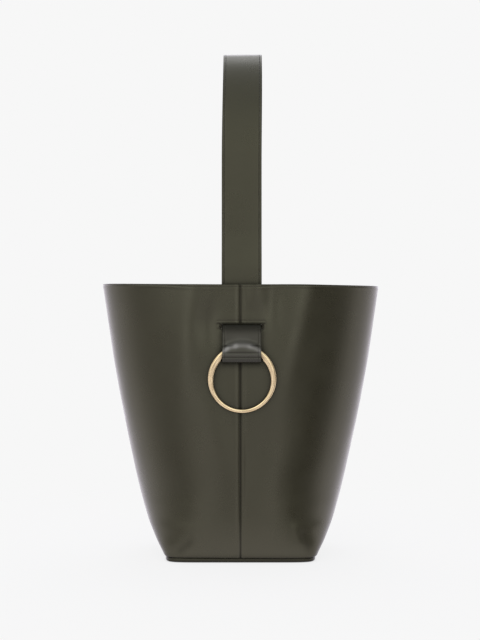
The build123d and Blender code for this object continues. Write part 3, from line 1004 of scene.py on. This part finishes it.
tab_in = NEAR_STRAP_EDGE + (5.8, 7, 8.3, 9.6, 11, 12.5, 14, 15.5, 17, 18.5, 20)
tab_x, tab_edge = across_strip(TAB_HALF, np.array(tab_in) * TAB_HALF / 20)
for side, way in SIDES:
    lines = np.stack([tab_line(x) for x in tab_x], axis=1)
    run = np.gradient(lines, axis=0)
    run /= np.linalg.norm(run, axis=2)[:, :, None]
    # Left of the direction of travel is outwards from the fold.
    out = left_of(run)
    z = lines[:, :, 1]
    front_ply = np.arange(TAB_ROWS)[:, None] < TAB_ROWS * 0.52
    thick = PLY - roll(tab_edge, 0.5) * np.ones(z.shape)
    outside = thick - 0.22 * hill(tab_edge - CREASE_IN, 0.35)
    at_side = smooth((np.abs(tab_x) - 7.5) / 2.5)
    outside -= front_ply * at_side * 0.42 * hill(z - PINCH_Z + 0.3, 0.55)
    outside -= front_ply * (0.38 * hill(z - PLY_END_Z, 0.6) + 0.32 * hill(z - GROOVE_Z, 0.5))
    outside += front_ply * 0.2 * hill(z - 210.2, 1.3)
    outer, inner = (lines + out * height[:, :, None] for height in (outside, -thick))
    grids = [
        np.stack([np.broadcast_to(tab_x, z.shape) + STRAP_X, way * face[:, :, 0], face[:, :, 1]], 2)
        for face in (outer, inner)
    ]
    # Painted highlight: pale where the leather is stretched over the ring, in brighter spots along
    # it, in a faint patch higher up and in faint bands below it.
    arc = RING_Z + np.sqrt(RING_OUTER**2 - tab_x**2)
    spots = hill(tab_x + 15, 2.6) + hill(tab_x + 6, 2.4) + 0.5 * hill(tab_x - 8, 2.6)
    painted_highlight = (0.55 + 0.75 * spots) * hill(z - arc + 1.2, 2.0)
    painted_highlight += 0.10 * hill(tab_x, 9) * hill(z - 225.5, 3.5)
    painted_highlight += 0.09 * hill(z - 210.2, 1.1) + 0.11 * hill(z - 205.6, 1.1)
    # Dark along the cut edges and creased lines, and painted shade in the pinch and the lines over
    # and under the ring, by the slot and underneath.
    away = smooth((np.abs(tab_x) - 7) / 2) * smooth((18.4 - np.abs(tab_x)) / 1.5)
    crease_shade = 0.85 * away * hill(z - PINCH_Z, 0.6) + 0.5 * hill(z - GROOVE_Z, 0.55)
    crease_shade += 0.6 * hill(z - PLY_END_Z, 0.6)
    shaded = 0.9 * smooth((z - 228.5) / 10.5) + 0.5 * smooth((206.9 - z) / 1.0)
    shaded = np.maximum(shaded, smooth(1 - tab_edge / 2.4) * smooth((z - 231) / 3))
    shaded += 0.5 * smooth((204.0 - z) / 1.4)
    edges = np.maximum(smooth(1 - tab_edge / 0.8), 0.35 * hill(tab_edge - CREASE_IN, 0.45))
    edges = np.maximum(edges, front_ply * np.maximum(crease_shade, shaded))
    grids += [front_ply * painted_highlight, edges]
    if way > 0:
        grids = [grid[:, ::-1] for grid in grids]
    outer, inner, painted_highlight, edges = grids
    tab = shell(f"tab_{side}", outer, inner, tab_leather, edge=edges, edge_sharp=False, painted_highlight=painted_highlight)
    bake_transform(tab)
    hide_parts(f"{side}_tab")

# ---- rings ----
RING_X, RING_Y, RING_LEAN = 1.6, 79.17, math.radians(3.5)
HOLE_RADIUS, HOLE_DROP, RING_HALF_THICK = 28.9, 1.7, 1.6
# A power under 1 squares off the ring's round section.
RING_SQUARE = 0.72


def ring_grid(way):
    """The ring's skin: flat faces with rounded edges, thicker at the top as the hole is lower."""
    turn = circle(288)[:, None]
    section = circle(36)
    along_hole = -HOLE_DROP * np.cos(turn)
    hole = along_hole + np.sqrt(HOLE_RADIUS**2 - HOLE_DROP**2 + along_hole**2)
    middle, half = (RING_OUTER + hole) / 2, (RING_OUTER - hole) / 2
    cos, sin = np.cos(section), np.sin(section)
    radius = middle + half * np.sign(cos) * np.abs(cos) ** RING_SQUARE
    out = RING_HALF_THICK * np.sign(sin) * np.abs(sin) ** RING_SQUARE
    rise = radius * np.cos(turn)
    y = RING_Y + rise * math.sin(RING_LEAN) + out * math.cos(RING_LEAN)
    z = RING_Z + rise * math.cos(RING_LEAN) - out * math.sin(RING_LEAN)
    return np.stack([RING_X + radius * np.sin(turn), way * y, z], axis=2)


for side, way in SIDES:
    grid = ring_grid(way)
    gold = brushed_gold(f"pale_gold_{side}", way * RING_Y)
    ring = add_mesh(f"ring_{side}", grid, closed_grid(*grid.shape[:2], way), gold)
    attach(ring, f"{side}_ring")
    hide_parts(f"{side}_ring")

# ---- floor, light and camera ----
scene = bpy.context.scene
scene.view_settings.view_transform = "Standard"
# Metres from here on. The paper's brightness, how much light falls on it, and how much of that it
# shows near the bag.
PAPER, PAPER_LIGHT, PAPER_TAKES = 0.93, 1.03, 0.09
NEAR, FAR = 0.12, 0.5
FLOOR_RADII, FLOOR_TURNS = (0.4, 1, 3, 9, 40), 96

floor_mesh = bpy.data.meshes.new("floor")
floor_points, floor_faces = [(0, 0, 0)], []
for r in FLOOR_RADII:
    floor_points += [(r * math.cos(t), r * math.sin(t), 0) for t in circle(FLOOR_TURNS)]
for j in range(FLOOR_TURNS):
    k = (j + 1) % FLOOR_TURNS
    floor_faces.append((0, 1 + j, 1 + k))
    for i in range(len(FLOOR_RADII) - 1):
        a, b = 1 + i * FLOOR_TURNS + j, 1 + i * FLOOR_TURNS + k
        floor_faces.append((a, a + FLOOR_TURNS, b + FLOOR_TURNS, b))
floor_mesh.from_pydata(floor_points, [], floor_faces)
floor = bpy.data.objects.new("floor", floor_mesh)
scene.collection.objects.link(floor)
floor.location.z = -0.0002


def round_horizon(tree, direction):
    """Where a direction points, from 0 and 1 at the back by the left to 0.5 at the front, and the
    direction's own three numbers."""
    x, y, z = add_node(tree, "SeparateXYZ", {"Vector": direction}).outputs
    turn = compute(tree, "ARCTAN2", x, compute(tree, "MULTIPLY", y, -1))
    return scalar_range(tree, turn, 0, 1, -math.pi, math.pi), (x, y, z)


paper, tree, shader = node_tree("paper")
here = add_node(tree, "TexCoord").outputs["Object"]
bearing, (x, y, _) = round_horizon(tree, here)
away = vector_length(tree, here)
# A painted contact shadow: a narrow dark line where the base rests on the paper, round a
# superellipse.
CONTACT_HALF_X, CONTACT_HALF_Y, CONTACT_POWER = 0.0742, 0.0645, 9
CONTACT_SHADOW_STOPS = ((0.0, 0.30), (0.25, 0.56), (0.4, 0.88), (0.6, 0.99), (1.0, 1.0))
powers = []
for part, half in ((x, CONTACT_HALF_X), (y, CONTACT_HALF_Y)):
    share = compute(tree, "ABSOLUTE", compute(tree, "DIVIDE", part, half))
    powers.append(compute(tree, "POWER", share, CONTACT_POWER))
root = compute(tree, "POWER", compute(tree, "ADD", *powers), 1 / CONTACT_POWER)
painted_shade_factor = grey_ramp(tree, scalar_range(tree, root, 0, 1, 0.97, 1.12), CONTACT_SHADOW_STOPS)
# What the leather reflects of the studio's floor, round the bag: pale paper and darker gaps.
FLOOR_STOPS = (
    (0.0, 1.2), (0.28, 0.85), (0.37, 0.36), (0.41, 0.30), (0.45, 0.75), (0.49, 0.4),
    (0.54, 0.70), (0.585, 0.05), (0.64, 0.2), (0.70, 0.85), (1.0, 1.2),
)
FLOOR_NEAR, FLOOR_GLOW = 0.70, 1.5
reflected = grey_ramp(tree, bearing, FLOOR_STOPS)
reflected = mix(tree, scalar_range(tree, away, 0, 1, 0.1, 0.3), FLOOR_NEAR, reflected, "FLOAT")
glow = compute(tree, "MULTIPLY", reflected, FLOOR_GLOW)
# Seen directly, the paper is evenly white, and only the part near the bag takes a shadow.
white = scalar_range(tree, away, PAPER - PAPER_TAKES * PAPER_LIGHT, PAPER, NEAR, FAR)
seen = add_node(tree, "LightPath").outputs["Is Camera Ray"]
strength = mix(tree, seen, glow, white, "FLOAT")
inputs = {
    "Base Color": scalar_range(tree, away, PAPER_TAKES, 0.0, NEAR, FAR),
    "Roughness": 1.0,
    "Specular IOR Level": 0.0,
    "Emission Color": mix(tree, seen, (1.02, 0.965, 1.08, 1), (1, 1, 1, 1)),
    "Emission Strength": compute(tree, "MULTIPLY", strength, painted_shade_factor),
}
feed(tree, shader, inputs)
floor_mesh.materials.append(paper)

# Round the horizon, from behind the backdrop by the left to the front (0.5) and on by the right:
# white paper behind, soft boxes at the sides, and darker gaps beside the camera. The boxes at the
# sides are a little cooler and pinker than the paper before the bag.
HORIZON_STOPS = (
    (0.00, 1.00), (0.18, 0.90), (0.24, 0.40), (0.30, 0.34), (0.36, 0.36), (0.40, 0.46),
    (0.425, 0.66), (0.45, 1.15), (0.49, 0.38), (0.505, 0.38), (0.54, 1.15), (0.56, 0.62),
    (0.585, 0.22), (0.64, 0.20), (0.68, 0.20), (0.74, 0.26), (0.82, 0.80), (1.00, 1.00),
)
TINT_AT = (0.0, 0.24, 0.40, 0.45, 0.56, 0.62, 0.74, 1.0)
TINT_SHARE = (1.0, 1.0, 0.35, 0.0, 0.0, 0.5, 1.0, 1.0)
OVERHEAD_STOPS = ((0.0, 0), (0.4, 0.1), (0.9, 1))
OVERHEAD, STUDIO_STRENGTH = (0.40, 0.405, 0.43, 1), 1.9
world = bpy.data.worlds.new("studio")
scene.world = world
world.use_nodes = True
tree = world.node_tree
tree.nodes.clear()
bearing, (_, _, up) = round_horizon(tree, add_node(tree, "TexCoord").outputs["Generated"])
horizon_stops = []
for at, v in HORIZON_STOPS:
    tint = v * np.interp(at, TINT_AT, TINT_SHARE)
    horizon_stops.append((at, (v + 0.02 * tint, v - 0.035 * tint, v + 0.09 * tint)))
horizon = ramp(tree, bearing, horizon_stops)
overhead = grey_ramp(tree, scalar_range(tree, up, 0, 1, 0, 1), OVERHEAD_STOPS)
inputs = {"Color": mix(tree, overhead, horizon, OVERHEAD), "Strength": STUDIO_STRENGTH}
studio = add_node(tree, "Background", inputs).outputs["Background"]
inputs = {"Color": (PAPER, PAPER, PAPER, 1)}
plain = add_node(tree, "Background", inputs).outputs["Background"]
seen = add_node(tree, "LightPath").outputs["Is Camera Ray"]
chosen = add_node(tree, "MixShader", {"Fac": seen, 1: studio, 2: plain})
add_node(tree, "OutputWorld", {"Surface": chosen.outputs["Shader"]})


def soft_box(name, place_at, look_at, size, watts, colour):
    light = bpy.data.lights.new(name, "AREA")
    light.shape = "RECTANGLE"
    light.size = light.size_y = size
    light.energy = watts
    light.color = colour
    made = bpy.data.objects.new(name, light)
    made.location = place_at
    aim = Vector(look_at) - Vector(place_at)
    made.rotation_euler = aim.to_track_quat("-Z", "Y").to_euler()
    scene.collection.objects.link(made)


soft_box("key", (-1.6, -1.6, 2.2), (0, 0, 0.25), 1.4, 6, (1, 1, 1))
soft_box("overhead", (0.1, 1.15, 2.2), (0, 0.1, 0.3), 1.4, 10, (0.98, 0.98, 1.08))

camera_data = bpy.data.cameras.new("camera")
camera_data.sensor_width = 36
camera_data.lens = 71.5
camera = bpy.data.objects.new("camera", camera_data)
camera.location = (-0.0005, -1.350, 0.2451)
camera.rotation_euler = (math.pi / 2, 0, 0)
scene.collection.objects.link(camera)
scene.camera = camera
